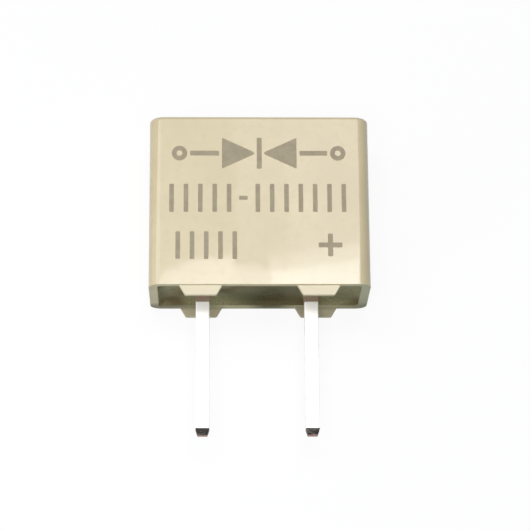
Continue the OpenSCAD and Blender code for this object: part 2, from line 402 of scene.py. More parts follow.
def filled_resin(ends: str, browns: str, filler: str) -> Layers:
    """Give poured resin its ends, browns, filler, slow swell and pits of burst bubbles.

    Args:
        ends: Colour at both ends of the part.
        browns: Colour of the brownish places.
        filler: Colour of the filler's specks.

    Returns:
        The layers, from the lowest.
    """
    return (
        # Painted shade: darker in the middle, between the pins, and paler towards both ends
        ToneAndPaintedLight((Reach((1.0, 0.0, 0.8), (0.5, 2.5), (0.6, 0.0, 1.3)),), colour=ends),
        Cloud(1.6, detail=1.0, colour=browns, ends=(0.5, 0.7)),
        Cloud(0.09, detail=4.0, colour=filler, ends=(0.45, 0.75)),
        Cloud(1.3, detail=1.0, gloss=0.08, height=0.03),
        Cloud(0.16, height=0.004),
    )


def specks(colour: str, size: float, height: float) -> Layers:
    """Give a technical surface its specks, in colour, gloss and relief."""
    return (Cloud(size, detail=3.0, colour=colour, ends=(0.4, 0.7), gloss=0.06,
                  height=height),)


@dataclass(frozen=True)
class MouldedPolyester(Finish):
    """Beige PBT polyester from a polished mould: an even body colour under a semi-gloss skin.

    The flow of the melt leaves faint clouds a few millimetres wide and a finer mottle, and
    the skin waves a little, so that the edge of a reflected lamp isn't straight.
    """

    name: str = "moulded_polyester"
    colour: str = "#CDBD98"
    roughness: float = 0.4
    ior: float = 1.55
    shine: float = 0.2
    skin: float = 1.0
    skin_roughness: float = 0.045
    layers: Layers = melt_flow("#D3C39D", "#CABB93")


@dataclass(frozen=True)
class SatinPolyester(MouldedPolyester):
    """The polyester on the standoffs' broad faces, where the mould was left satin."""

    name: str = "satin_polyester"
    colour: str = "#CEC1A0"
    skin_roughness: float = 0.3
    layers: Layers = melt_flow("#D4C7A5", "#CBBF9B")


# Reach of the rear rim's dark tone and painted light: up the narrow walls, along the standoffs
REAR_RIM_REACH = Reach((0, 0, 1), (1.1, 0.5)), Reach((0, 1, 0), (0.99, 0.8))


@dataclass(frozen=True)
class CorePolyesterWithPaintedLight(Finish):
    """The polyester where the mould's spark-eroded core shaped it: a dry, even matt.

    The rear wall's rim is a darker olive, which fades out up the narrow walls and along the
    standoffs. Painted shade darkens its middle, between the pins, and painted light makes it
    paler beside that place. Painted shade makes the right narrow wall darker and greyer.
    beside that place. A thinner film has crept up the right narrow wall.
    """

    name: str = "core_polyester_with_painted_light"
    colour: str = "#CFC5A6"
    roughness: float = 0.7
    shine: float = 0.6
    layers: Layers = (
        Cloud(0.9, colour="#C6BB9D"),
        Cloud(0.06, height=0.003),
        # Painted shade: the right narrow wall darker and greyer, where less light reaches that
        # side
        ToneAndPaintedLight((Reach((1, 0, 0), (0.9, 0.55), (5.1, 0.0, 0.0)),), colour="#BAB69B"),
        # Darker olive on the rear wall's rim, fading out up the narrow walls and along the
        # standoffs
        ToneAndPaintedLight(REAR_RIM_REACH, colour="#86826A"),
        # Painted light: paler beside the middle of the rear rim
        ToneAndPaintedLight((*REAR_RIM_REACH, Reach((1, 0, 0), (4.6, 2.4), (0.6, 0.0, 0.0))), colour="#BAB692"),
        # Painted shade: darker at the middle of the rear rim, between the pins, where their
        # shade falls
        ToneAndPaintedLight((*REAR_RIM_REACH, Reach((1, 0, 0), (1.2, 0.3), (0.6, 0.0, 0.0))), colour="#6C6850"),
    )


@dataclass(frozen=True)
class EtchedPolyester(Finish):
    """The case's polyester where a laser has browned and roughened it: taupe, quite matt,
    with uneven passes and a crumbly surface."""

    name: str = "laser_etched_polyester"
    colour: str = "#A79C84"
    roughness: float = 0.75
    layers: Layers = (
        Cloud(0.35, colour="#9E927B"),
        Cloud(0.05, height=0.002),
    )


@dataclass(frozen=True)
class CastEpoxy(Finish):
    """Filled potting epoxy, poured and cured in the open: olive grey, softly shining, with
    a slow swell and the specks of its mineral filler. Painted shade darkens it in the middle,
    between the pins, towards paler ends, and it is brownish in places."""

    name: str = "cast_epoxy"
    colour: str = "#403D22"
    roughness: float = 0.55
    ior: float = 1.55
    shine: float = 0.07
    layers: Layers = filled_resin("#989371", "#6A5B42", "#6B6643")


@dataclass(frozen=True)
class ThinEpoxy(CastEpoxy):
    """The potting epoxy where it thins out on a pin and the tin glows through: brown."""

    name: str = "thin_cast_epoxy"
    colour: str = "#A48F7A"
    layers: Layers = filled_resin("#A48F7A", "#9C8270", "#8F7B66")


@dataclass(frozen=True)
class BrightTin(Finish):
    """Bright tin plate over drawn copper alloy: silver white, with the fine lines that the
    drawing die left along the pin and a few rubbed spots."""

    name: str = "bright_tin_plate"
    colour: str = "#F4F2EE"
    roughness: float = 0.68
    metallic: float = 0.7
    layers: Layers = (
        Cloud((0.035, 1.6, 0.035), gloss=0.08, height=0.0006),
        Cloud(0.5, detail=4.0, start=(3.1, 5.7, 0.0), colour="#CFCCC4", ends=(0.6, 0.8)),
    )


@dataclass(frozen=True)
class CoinedTip(Finish):
    """Coined pin point where the plate is smeared away: its near-black brown is painted dark
    reflection and shade, with smears of the plate and tear lines across the pin."""

    name: str = "coined_copper_alloy"
    # Painted dark reflection and shade on the point's slopes
    colour: str = "#1C1817"
    metallic: float = 0.6
    layers: Layers = (
        Cloud((0.24, 0.08, 0.24), colour="#645E58", ends=(0.53, 0.72)),
        Cloud((1.0, 0.03, 1.0), height=0.002),
    )


@dataclass(frozen=True)
class ShearedAlloy(Finish):
    """Bare copper alloy on the cut end of a pin: rosy, torn across, darker where it broke."""

    name: str = "sheared_copper_alloy"
    colour: str = "#B98F7F"
    roughness: float = 0.42
    metallic: float = 1.0
    layers: Layers = (
        Cloud(0.3, detail=3.0, colour="#3A2E29", ends=(0.36, 0.66), height=0.004),
    )


@dataclass(frozen=True)
class WovenLaminate(Finish):
    """Glass-cloth epoxy laminate: green, with the weave of the cloth faint under the resin."""

    name: str = "glass_epoxy_laminate"
    colour: str = "#3F7A4A"
    roughness: float = 0.4
    layers: Layers = (Weave(0.4, colour="#5A9463", ends=(0.1, 0.9), height=0.004),)


# Soft, dull tin-lead alloy that set in the air: grey, slightly frosted
SOLDER = Finish("reflowed_solder", "#B9BDC0", 0.36, metallic=1.0,
                layers=specks("#9DA2A6", 0.12, 0.003))
# Etched copper foil with the first brown of oxide
COPPER = Finish("etched_copper_foil", "#B87333", 0.38, metallic=1.0,
                layers=specks("#A0602C", 0.3, 0.001))
# Transfer-moulded epoxy with silica filler: charcoal, matt, finely grained
PACKAGE = Finish("silica_filled_epoxy", "#26262A", 0.6, 1.55,
                 layers=specks("#34343A", 0.05, 0.002))
# Matt tin on stamped leads and end caps: pale grey, satin
LEAD = Finish("matt_tin_plate", "#C9CBCC", 0.42, metallic=1.0,
              layers=specks("#B4B7B9", 0.04, 0.001))
# Sintered titanate ceramic: tan, dense and satin
TITANATE = Finish("sintered_titanate", "#B59A72", 0.5, 1.6,
                  layers=specks("#A88C64", 0.03, 0.001))
# Sintered alumina: white with grey grains
ALUMINA = Finish("sintered_alumina", "#E6E4DE", 0.55, 1.6,
                 layers=specks("#D2D0CA", 0.03, 0.001))
# Fired black glaze over the resistive film: glassy, slightly wavy
GLAZE = Finish("fired_glaze", "#1D1D1F", 0.18, 1.52, layers=specks("#26262A", 0.2, 0.002))


# Modelling


def clear_bench() -> None:
    """Leave edit mode and deselect everything, so that operators act on nothing old."""
    if bpy.context.mode != "OBJECT":
        bpy.ops.object.mode_set(mode="OBJECT")
    bpy.ops.object.select_all(action="DESELECT")


def corners(node: str) -> tuple[Vector, Vector]:
    """Give a CAD node's lowest and highest corner, in millimetres."""
    low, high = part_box(node)
    return low / MM, high / MM


class Workpiece:
    """A mesh on the bench, shaped with Blender's own operators as by hand."""

    def __init__(self, name: str, low: Triple, high: Triple) -> None:
        """Start from a box and open it for shaping.

        Args:
            name: Name of the object and its mesh.
            low: Lowest corner, in millimetres.
            high: Highest corner, in millimetres.
        """
        clear_bench()
        middle = (Vector(low) + Vector(high)) / 2 * MM
        bpy.ops.mesh.primitive_cube_add(size=1.0, location=middle,
                                        scale=(Vector(high) - Vector(low)) * MM)
        self.obj = bpy.context.active_object
        self.obj.name = self.obj.data.name = name
        bpy.ops.object.transform_apply(location=True, rotation=True, scale=True)
        bpy.ops.object.mode_set(mode="EDIT")
        bpy.ops.mesh.select_all(action="DESELECT")

    def unpick(self, kind: str) -> bmesh.types.BMesh:
        """Deselect all and let faces or edges be picked next.

        Args:
            kind: FACE or EDGE.

        Returns:
            The mesh that they are picked from.
        """
        bpy.ops.mesh.select_mode(type=kind)
        bpy.ops.mesh.select_all(action="DESELECT")
        return bmesh.from_edit_mesh(self.obj.data)

    def pick_faces(self, wanted: Test) -> None:
        """Select the faces that a test on place and normal wants.

        Args:
            wanted: Takes a face's middle in millimetres and its normal.
        """
        mesh = self.unpick("FACE")
        mesh.normal_update()
        for face in [f for f in mesh.faces if wanted(f.calc_center_median() / MM, f.normal)]:
            face.select_set(True)
        bmesh.update_edit_mesh(self.obj.data)

    def pick_edges(self, wanted: Test) -> None:
        """Select the edges that a test on place and direction wants.

        Args:
            wanted: Takes an edge's middle in millimetres and its unit direction.
        """
        mesh = self.unpick("EDGE")
        picked = []
        for edge in mesh.edges:
            start, end = (vert.co for vert in edge.verts)
            if wanted((start + end) / 2 / MM, (end - start).normalized()):
                picked.append(edge)
        for edge in picked:
            edge.select_set(True)
        bmesh.update_edit_mesh(self.obj.data)

    def extrude(self, shift: Triple) -> None:
        """Extrude what is selected by a shift in millimetres."""
        bpy.ops.mesh.extrude_region_move(
            TRANSFORM_OT_translate={"value": Vector(shift) * MM})

    def shift(self, way: Triple) -> None:
        """Move what is selected by a shift in millimetres."""
        bpy.ops.transform.translate(value=Vector(way) * MM)

    def resize(self, factors: Triple, pivot: Triple) -> None:
        """Scale what is selected about a pivot in millimetres."""
        bpy.ops.transform.resize(value=factors, center_override=Vector(pivot) * MM)

    def inset(self, thickness: float) -> None:
        """Inset the selected faces as one region, by millimetres."""
        bpy.ops.mesh.inset(thickness=thickness * MM, use_even_offset=True)

    def bevel(self, width: float, segments: int) -> None:
        """Round the selected edges, by millimetres."""
        bpy.ops.mesh.bevel(offset=width * MM, segments=segments, affect="EDGES",
                           clamp_overlap=False)

    def round_along(self, way: Way, width: float, segments: int) -> None:
        """Round the edges that run along a direction, by millimetres."""
        self.pick_edges(way.follows)
        self.bevel(width, segments)

    def cut(self, point: Triple, normal: Way) -> None:
        """Bisect the selected faces at a plane through a point in millimetres."""
        bpy.ops.mesh.bisect(plane_co=Vector(point) * MM, plane_no=normal.value,
                            threshold=WELD)

    def open(self) -> None:
        """Delete the selected faces and keep their edges."""
        bpy.ops.mesh.delete(type="ONLY_FACE")

    def bridge_rims(self) -> None:
        """Join the open rims with a band of faces and turn all normals outward."""
        self.unpick("EDGE")
        bpy.ops.mesh.select_non_manifold()
        bpy.ops.mesh.bridge_edge_loops()
        self.turn_outward()

    def turn_outward(self) -> None:
        """Merge doubles and recalculate the normals of the closed mesh."""
        bpy.ops.mesh.select_all(action="SELECT")
        bpy.ops.mesh.remove_doubles(threshold=WELD)
        bpy.ops.mesh.normals_make_consistent(inside=False)

    def furnish(self, materials: Sequence[Material]) -> None:
        """Give the object its materials; all faces start with the first."""
        for material in materials:
            self.obj.data.materials.append(material)

    def paint(self, index: int, wanted: Test) -> None:
        """Give faces another of the object's materials.

        Args:
            index: The material's number.
            wanted: Takes a face's middle in millimetres and its normal.
        """
        self.pick_faces(wanted)
        self.obj.active_material_index = index
        bpy.ops.object.material_slot_assign()

    def take(self, others: Sequence["Workpiece"]) -> None:
        """Join other workpieces into this one's mesh.

        Args:
            others: The workpieces, which are used up.
        """
        clear_bench()
        for other in (*others, self):
            other.obj.select_set(True)
        bpy.context.view_layer.objects.active = self.obj
        bpy.ops.object.join()
        bpy.ops.object.mode_set(mode="EDIT")

    def close(self, soft_edge: float = 0.0, keep_flat: float = 30.0) -> bpy.types.Object:
        """Leave edit mode, set the shading and break the sharp edges or even the normals.

        Args:
            soft_edge: Width of the rounding on sharp edges, in millimetres, or zero for none.
            keep_flat: Edges sharper than this many degrees stay sharp in the shading.

        Returns:
            The finished object.
        """
        bpy.ops.object.mode_set(mode="OBJECT")
        bpy.ops.object.shade_smooth_by_angle(angle=math.radians(keep_flat))
        if soft_edge > 0:
            last = self.obj.modifiers.new("soft_edges", "BEVEL")
            last.limit_method = "ANGLE"
            last.angle_limit = math.radians(SHARP)
            last.width = soft_edge * MM
            last.segments = SOFT_SEGMENTS
            last.harden_normals = True
        else:
            last = self.obj.modifiers.new("even_shading", "WEIGHTED_NORMAL")
            last.keep_sharp = True
        bpy.ops.object.modifier_apply(modifier=last.name)
        return self.obj


def hand_over(piece: bpy.types.Object, slot: Slot, nodes: Sequence[str] = ()) -> None:
    """Let a finished piece ride on the part, name its slot and report it.

    Args:
        piece: The finished piece.
        slot: The record's material slot that it takes its finish from.
        nodes: The CAD nodes that it stands for.
    """
    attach(piece, BODY)
    if nodes:
        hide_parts(*nodes)
    log.info("%s: %d faces, %s", piece.name, len(piece.data.polygons), slot.value)


# The part


@dataclass
class CaseShell:
    """The moulded housing: closed end, four walls and four standoffs around the open rim."""

    wall: float = 0.42
    face_wall: float = 0.32
    edge_radius: float = 0.54
    corner_radius: float = 0.22
    end_radius: float = 0.16
    inner_radius: float = 0.2
    rim_straight: float = 4.0
    tab_spacing: float = 5.46
    tab_width: float = 1.46
    tab_height: float = 0.48
    tab_angle: float = 30.0
    tab_set: float = 0.1
    tab_radius: float = 0.12
    soft_edge: float = 0.03
    mark_room: float = 0.012
    segments: int = 8
    tab_segments: int = 4
    low: Vector = field(default_factory=lambda: corners("case")[0])
    high: Vector = field(default_factory=lambda: corners("case")[1])

    @property
    def rim(self) -> float:
        """Height of the open rim along Y."""
        return self.low.y + self.tab_height

    @property
    def half(self) -> Pair:
        """Half the case's width and half its depth."""
        return (self.high.x - self.low.x) / 2, (self.high.z - self.low.z) / 2

    @property
    def middle(self) -> Vector:
        """The point that the case is symmetric about, on the rim's plane at Y = 0."""
        return Vector(((self.low.x + self.high.x) / 2, 0, (self.low.z + self.high.z) / 2))

    def build(self) -> None:
        """Model the housing around its middle, then move it to its place."""
        shell = self.outer_block()
        shell.take([self.cavity()])
        shell.bridge_rims()
        self.grow_tab(shell)
        for side in ("POSITIVE_X", "POSITIVE_Z"):
            bpy.ops.mesh.select_all(action="SELECT")
            bpy.ops.mesh.symmetrize(direction=side, threshold=WELD)
        shell.turn_outward()
        shell.shift(self.middle)
        finishes = MouldedPolyester(), CorePolyesterWithPaintedLight(), SatinPolyester()
        shell.furnish([finish.material() for finish in finishes])
        shell.paint(1, self.core_shaped)
        broad = self.half[1] - self.tab_set - NEAR
        shell.paint(2, lambda at, normal: at.y < self.rim - NEAR
                    and abs(at.z - self.middle.z) > broad)
        hand_over(shell.close(self.soft_edge), Slot.CASE, ["case"])

    def core_shaped(self, at: Vector, normal: Vector) -> bool:
        """Tell whether a face is part of the rim, a standoff or the inside.

        Args:
            at: The face's middle, in millimetres.
            normal: The face's normal.

        Returns:
            True where the mould's core shaped the face.
        """
        if at.y < self.rim - NEAR or Way.OUTWARD.faced_by(at, normal):
            return True
        off = at - self.middle
        half_w, half_d = self.half
        return (abs(off.x) < half_w - self.wall + NEAR
                and abs(off.z) < half_d - self.face_wall + NEAR
                and at.y < self.high.y - self.wall + NEAR)

    def outer_block(self) -> Workpiece:
        """Model the outside: round long edges, then a closed end that curves in step by step.

        Returns:
            The open outer block, around its middle.
        """
        half_w, half_d = self.half[0], self.half[1] - self.mark_room
        start = self.high.y - self.corner_radius
        block = Workpiece("case_shell", (-half_w, self.rim, -half_d), (half_w, start, half_d))
        block.round_along(Way.INWARD, self.edge_radius, self.segments)
        block.pick_faces(Way.INWARD.faced_by)
        width, depth, level = half_w, half_d, self.corner_radius
        for left, narrower, flatter in self.end_loops():
            block.extrude((0, level - left, 0))
            factors = (half_w - narrower) / width, 1, (half_d - flatter) / depth
            block.resize(factors, (0, self.high.y - left, 0))
            width, depth, level = half_w - narrower, half_d - flatter, left
        block.pick_faces(Way.OUTWARD.faced_by)
        block.open()
        return block

    def end_loops(self) -> list[tuple[float, float, float]]:
        """List the edge loops of the closed end's rounding, from the outermost.

        Returns:
            Each loop's distance to the closed end, and its insets in width and in depth.
        """
        radii = self.corner_radius, self.end_radius
        turns = [math.pi / 2 * i / self.segments for i in range(self.segments + 1)]
        levels = {round(radius * (1 - math.sin(turn)), 6)
                  for radius in radii for turn in turns}
        levels.discard(round(self.corner_radius, 6))
        return [(left, *(radius - math.sqrt(radius ** 2 - max(radius - left, 0.0) ** 2)
                         for radius in radii)) for left in sorted(levels, reverse=True)]

    def cavity(self) -> Workpiece:
        """Model the inside as an open box with round long corners.

        Returns:
            The cavity, around the same middle as the outer block.
        """
        half_w, half_d = self.half[0] - self.wall, self.half[1] - self.face_wall
        hollow = Workpiece("cavity", (-half_w, self.rim, -half_d),
                           (half_w, self.high.y - self.wall, half_d))
        hollow.round_along(Way.INWARD, self.inner_radius, self.segments)
        hollow.pick_faces(Way.OUTWARD.faced_by)
        hollow.open()
        bpy.ops.mesh.select_all(action="SELECT")
        bpy.ops.mesh.flip_normals()
        return hollow

    def grow_tab(self, shell: Workpiece) -> None:
        """Cut a standoff's root out of the front rim and extrude it to its foot.

        Args:
            shell: The closed housing, which gets one standoff on its right front.
        """
        inner = self.middle.z - self.face_wall
        outer = self.middle.z - self.tab_set
        x = self.tab_spacing / 2
        root = self.tab_width + 2 * self.tab_height * math.tan(math.radians(self.tab_angle))

        def tab_strip(at: Vector, normal: Vector) -> bool:
            """Tell whether a face is in the strip of the rim that standoffs grow from."""
            return (Way.OUTWARD.faced_by(at, normal) and inner < at.z < outer
                    and abs(at.x) < self.rim_straight)

        shell.pick_faces(tab_strip)
        shell.cut((0, 0, outer), Way.UP)
        for side in (-1, 1):
            shell.pick_faces(tab_strip)
            shell.cut((x + side * root / 2, 0, 0), Way.RIGHT)
        shell.pick_faces(lambda at, normal: tab_strip(at, normal)
                         and abs(at.x - x) < self.tab_width / 2)
        shell.extrude((0, -self.tab_height, 0))
        shell.resize((self.tab_width / root, 1, 1), (x, self.low.y, 0))
        shell.pick_edges(lambda at, along: Way.UP.follows(at, along)
                         and at.y < self.low.y + NEAR)
        run = self.tab_radius * math.tan(math.radians(45 - self.tab_angle / 2))
        shell.bevel(run, self.tab_segments)


@dataclass
class ResinMeniscus:
    """The visible skin of the potting: it climbs a little up the walls and round the pins.

    The steps up a wall and up a pin are pairs of a width and a height.
    """

    climb: float = 0.22
    proud: float = 0.008
    depth: float = 0.03
    corner: float = 0.2
    segments: int = 6
    pin_size: float = 0.64
    pin_reach: float = 0.3
    wall_steps: tuple[Pair, ...] = ((0.04, 0.08), (0.07, 0.06), (0.11, 0.045), (0.18, 0.035))
    pin_steps: tuple[Pair, ...] = ((0.1, 0.02), (0.08, 0.05), (0.05, 0.09), (0.03, 0.13),
                                   (0.025, 0.18), (0.015, 0.18))
    low: Vector = field(default_factory=lambda: corners("potting")[0])
    high: Vector = field(default_factory=lambda: corners("potting")[1])

    def build(self, resin: Material, film: Material) -> None:
        """Model the skin on the potting's open face.

        Args:
            resin: The potting's material.
            film: The material of the resin that thins out on the pins.
        """
        top = self.low.y - self.proud - self.climb
        skin = Workpiece("resin_meniscus", (self.low.x, top, self.low.z),
                         (self.high.x, self.low.y + self.depth, self.high.z))
        skin.round_along(Way.INWARD, self.corner, self.segments)
        skin.pick_faces(Way.OUTWARD.faced_by)
        skin.furnish([resin, film])
        middle = (self.low + self.high) / 2
        width, _, depth = self.high - self.low
        for step, fall in self.wall_steps:
            skin.extrude((0, fall, 0))
            skin.resize(((width - 2 * step) / width, 1, (depth - 2 * step) / depth), middle)
            width, depth = width - 2 * step, depth - 2 * step
        for pole in Pole:
            self.rise_round(skin, pole)
        skin.turn_outward()
        skin.paint(1, lambda at, normal: at.y < top)
        hand_over(skin.close(keep_flat=60), Slot.RESIN)

    def rise_round(self, skin: Workpiece, pole: Pole) -> None:
        """Let the skin climb round one pin and give it the pin's hole.

        Args:
            skin: The skin.
            pole: Which pin.
        """
        x, _, z = sum(corners(pole.value), Vector()) / 2
        half = self.pin_size / 2

        def over_pin(at: Vector, normal: Vector) -> bool:
            """Tell whether a face lies square over the pin, in front or at the back."""
            return (abs(normal.y) > ALIGNED and abs(at.x - x) < 2 * NEAR
                    and abs(at.z - z) < 2 * NEAR)

        for way, reach in ((Way.OUTWARD, half + self.pin_reach), (Way.INWARD, half)):
            for side in (-1, 1):
                skin.pick_faces(way.faced_by)
                skin.cut((x + side * reach, 0, 0), Way.RIGHT)
            for side in (-1, 1):
                skin.pick_faces(lambda at, normal: way.faced_by(at, normal)
                                and abs(at.x - x) < 2 * NEAR)
                skin.cut((0, 0, z + side * reach), Way.UP)
        skin.pick_faces(lambda at, normal: over_pin(at, normal) and normal.y < 0)
        for width, rise in self.pin_steps:
            skin.inset(width)
            skin.shift((0, -rise, 0))
        skin.pick_faces(over_pin)
        skin.open()
        skin.bridge_rims()


@dataclass
class Pin:
    """A square pin with rounded edges, a coined point and a sheared end."""

    pole: Pole
    edge_radius: float = 0.05
    edge_segments: int = 4
    tip_length: float = 0.3
    tip_cut: float = 0.09
    end_edge: float = 0.05
    end_segments: int = 2

    def build(self, metals: Sequence[Material]) -> None:
        """Model the pin in its CAD node's place and give each zone its metal.

        Args:
            metals: Materials of the plated shaft, of the point's slopes and of the cut end.
        """
        low, high = corners(self.pole.value)
        root = low.y + self.tip_length
        pin = Workpiece(f"{self.pole.name.lower()}_contact", (low.x, root, low.z), high)
        pin.round_along(Way.INWARD, self.edge_radius, self.edge_segments)
        pin.pick_faces(Way.OUTWARD.faced_by)
        shrink = 1 - 2 * self.tip_cut / (high.x - low.x)
        pin.extrude((0, -self.tip_length, 0))
        pin.resize((shrink, 1, shrink), (low + high) / 2)
        pin.furnish(metals)
        pin.paint(1, lambda at, normal: at.y < root - NEAR)
        pin.paint(2, Way.OUTWARD.faced_by)
        pin.pick_edges(lambda at, along: at.y < low.y + NEAR)
        pin.bevel(self.end_edge, self.end_segments)
        hand_over(pin.close(keep_flat=28), Slot.PIN, [self.pole.value])


@dataclass
class FaceMarking:
    """Plain signs etched on the marked face: a two-way suppressor, bars and a plus."""

    thickness: float = 0.03
    top_gap: float = 0.001
    corner: float = 0.04
    segments: int = 3
    symbol_row: tuple[float, float, float, float] = (-4.1, 4.05, 4.86, 6.4)
    bar_row: Pair = (2.72, 4.1)
    foot_row: Pair = (0.42, 1.76)
    bar_width: float = 0.21
    bar_pitch: float = 0.67
    first_bar: float = -4.1
    bar_groups: tuple[tuple[int, int], ...] = ((0, 5), (6, 7))
    foot_bars: int = 5
    foot_start: float = -3.8
    foot_pitch: float = 0.66
    plus_at: Pair = (3.28, 1.1)
    plus_size: float = 1.1
    stroke: float = 0.23
    arrow_gap: float = 0.12
    arrow_reach: float = 1.75
    arrow_tip: float = 0.06
    lead_gap: float = 0.14
    ring_radii: Pair = (0.14, 0.36)
    ring_gap: float = 0.14
    ring_steps: int = 40
    dash_size: Pair = (0.4, 0.19)
    surface: float = field(default_factory=lambda: corners("case")[1].z)
    signs: list[Workpiece] = field(default_factory=list)

    def build(self) -> None:
        """Model all the signs and join them into one thin piece."""
        self.suppressor()
        self.bars()
        self.plus()
        first, *others = self.signs
        first.take(others)
        first.turn_outward()
        piece = first.close()
        piece.name = piece.data.name = "face_marking"
        first.furnish([EtchedPolyester().material()])
        hand_over(piece, Slot.CASE)

    def plate(self, x0: float, y0: float, x1: float, y1: float) -> Workpiece:
        """Make a thin plate between two corners, flush with the marked face, as a new sign.

        Args:
            x0: Left side.
            y0: Lower side.
            x1: Right side.
            y1: Upper side.

        Returns:
            The plate, open for shaping.
        """
        top = self.surface - self.top_gap
        self.signs.append(Workpiece("sign", (x0, y0, top - self.thickness), (x1, y1, top)))
        return self.signs[-1]

    def smooth(self, sign: Workpiece) -> None:
        """Round a sign's upright edges."""
        sign.round_along(Way.UP, self.corner, self.segments)

    def suppressor(self) -> None:
        """Model the sign of a two-way suppressor: two arrows that meet at a bar, on a line."""
        left, right, low, high = self.symbol_row
        mid = (low + high) / 2
        half = self.stroke / 2
        ring = self.ring_radii[1]
        self.smooth(self.plate(-half, low, half, high))
        for side, end, tip in ((-1, left, Way.RIGHT), (1, right, Way.LEFT)):
            x0, x1 = sorted((side * (half + self.arrow_gap), side * self.arrow_reach))
            arrow = self.plate(x0, low, x1, high)
            arrow.pick_faces(tip.faced_by)
            arrow.resize((1, self.arrow_tip, 1), (0, mid, 0))
            self.smooth(arrow)
            x0, x1 = sorted((side * (self.arrow_reach + self.lead_gap),
                             end - side * (2 * ring + self.ring_gap)))
            self.smooth(self.plate(x0, mid - half, x1, mid + half))
            self.terminal(end - side * ring, mid)

    def terminal(self, x: float, y: float) -> None:
        """Spin one side of a small block into the ring that stands for a terminal.

        Args:
            x: Middle of the ring.
            y: Middle of the ring.
        """
        inner, outer = self.ring_radii
        ring = self.plate(x + inner, y - NEAR, x + outer, y)
        ring.pick_faces(Way.INWARD.faced_by)
        bpy.ops.mesh.select_all(action="INVERT")
        bpy.ops.mesh.delete(type="FACE")
        bpy.ops.mesh.select_all(action="SELECT")
        ring.open()
        bpy.ops.mesh.select_all(action="SELECT")
        bpy.ops.mesh.spin(steps=self.ring_steps, angle=2 * math.pi,
                          center=Vector((x, y, 0)) * MM, axis=Way.UP.value)
        ring.turn_outward()

    def bars(self) -> None:
        """Model the upright bars of the second and third row, and the dash between them."""
        half = self.bar_width / 2
        places = [(self.first_bar + self.bar_pitch * (start + i), self.bar_row)
                  for start, count in self.bar_groups for i in range(count)]
        places += [(self.foot_start + self.foot_pitch * i, self.foot_row)
                   for i in range(self.foot_bars)]
        for x, (low, high) in places:
            self.smooth(self.plate(x - half, low, x + half, high))
        x = self.first_bar + self.bar_pitch * self.bar_groups[0][1]
        y = sum(self.bar_row) / 2
        half_w, half_h = (size / 2 for size in self.dash_size)
        self.smooth(self.plate(x - half_w, y - half_h, x + half_w, y + half_h))

    def plus(self) -> None:
        """Model the plus over the anode pin, from a square whose four sides are extruded."""
        x, y = self.plus_at
        half, arm = self.stroke / 2, (self.plus_size - self.stroke) / 2
        cross = self.plate(x - half, y - half, x + half, y + half)
        for way in (Way.RIGHT, Way.LEFT, Way.INWARD, Way.OUTWARD):
            cross.pick_faces(lambda at, normal: way.faced_by(at, normal)
                             and (at - Vector((x, y, at.z))).length < half + NEAR)
            cross.extrude(Vector(way.value) * arm)
        self.smooth(cross)


@dataclass
class SealedCircuit:
    """The board and its parts under the resin, which keep their CAD solids.

    A solid takes its finish by its name, or else by the name's last word.
    """

    finishes: dict[str, Finish] = field(default_factory=lambda: {
        "capacitor_body": TITANATE, "resistor_body": ALUMINA, "body": PACKAGE,
        "board": WovenLaminate(), "track": COPPER, "solder": SOLDER, "film": GLAZE,
        **dict.fromkeys(("end", "emitter", "base", "collector", "anode", "cathode"), LEAD),
    })
    dressed: tuple[str, ...] = ("case", "potting", "anode_pin", "cathode_pin")

    def dress(self) -> None:
        """Give each solid that is left its own finish, one material for each finish."""
        made: dict[str, Material] = {}
        for name, node in sorted(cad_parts.items()):
            if name in self.dressed:
                continue
            finish = self.finishes.get(name) or self.finishes[name.split("_")[-1]]
            if finish.name not in made:
                made[finish.name] = finish.material()
            dress_node(node, made[finish.name])


def dress_node(node: bpy.types.Object, material: Material) -> None:
    """Give a CAD node a material in place of its own, and report it.

    Args:
        node: The node's object.
        material: The material.
    """
    node.data.materials.clear()
    node.data.materials.append(material)
    log.info("%s: %s", node.name, material.name)


# The studio


@dataclass
class SoftBox:
    """A flat lamp over the part, given by where it hangs and how bright its face is.

    It turns about Z and leans sideways, in degrees. One that isn't mirrored lights the part
    but shows in none of its reflections.
    """

    name: str
    middle: tuple[float, float, float]
    size: Pair
    radiance: float
    turn: float = 0.0
    lean: float = 0.0
    colour: str = "#FFFFFF"
    mirrored: bool = True

    def hang(self) -> None:
        """Hang the lamp, face down or leaning sideways, out of the camera's sight."""
        clear_bench()
        bpy.ops.object.light_add(type="AREA", location=Vector(self.middle) * MM)
        lamp = bpy.context.active_object
        lamp.name = lamp.data.name = self.name
        lamp.data.shape = "RECTANGLE"
        lamp.data.size, lamp.data.size_y = (side * MM for side in self.size)
        area = lamp.data.size * lamp.data.size_y
        lamp.data.energy = self.radiance * math.pi * area
        lamp.data.color = linear(self.colour)[:3]
        lamp.rotation_euler = (0, math.radians(self.lean), math.radians(self.turn))
        lamp.visible_camera = False
        lamp.visible_glossy = self.mirrored


@dataclass
class Camera:
    """The photograph's camera, given by its tilt from straight above the marked face."""

    tilt: float = 17.62
    turn: float = -1.4
    roll: float = -0.4
    distance: float = 100.889
    lens: float = 148.4
    sensor: float = 36.0
    clip: Pair = (0.005, 10.0)
    target: tuple[float, float, float] = (0.235, 0.12, 4.0)

    def place(self) -> None:
        """Put the camera where the photograph was taken from."""
        tilt, turn, roll = (math.radians(a) for a in (self.tilt, self.turn, self.roll))
        back = Vector((math.sin(turn) * math.cos(tilt), -math.sin(tilt),
                       math.cos(turn) * math.cos(tilt)))
        right = Vector(Way.INWARD.value).cross(back).normalized()
        axes = Matrix((right, back.cross(right), back)).transposed()
        turned = (axes @ Matrix.Rotation(roll, 3, "Z")).to_4x4()
        bpy.ops.object.camera_add()
        camera = bpy.context.active_object
        camera.data.sensor_width = self.sensor
        camera.data.lens = self.lens
        camera.data.clip_start, camera.data.clip_end = self.clip
        place = Matrix.Translation((Vector(self.target) + self.distance * back) * MM)
        camera.matrix_world = place @ turned
        bpy.context.scene.camera = camera


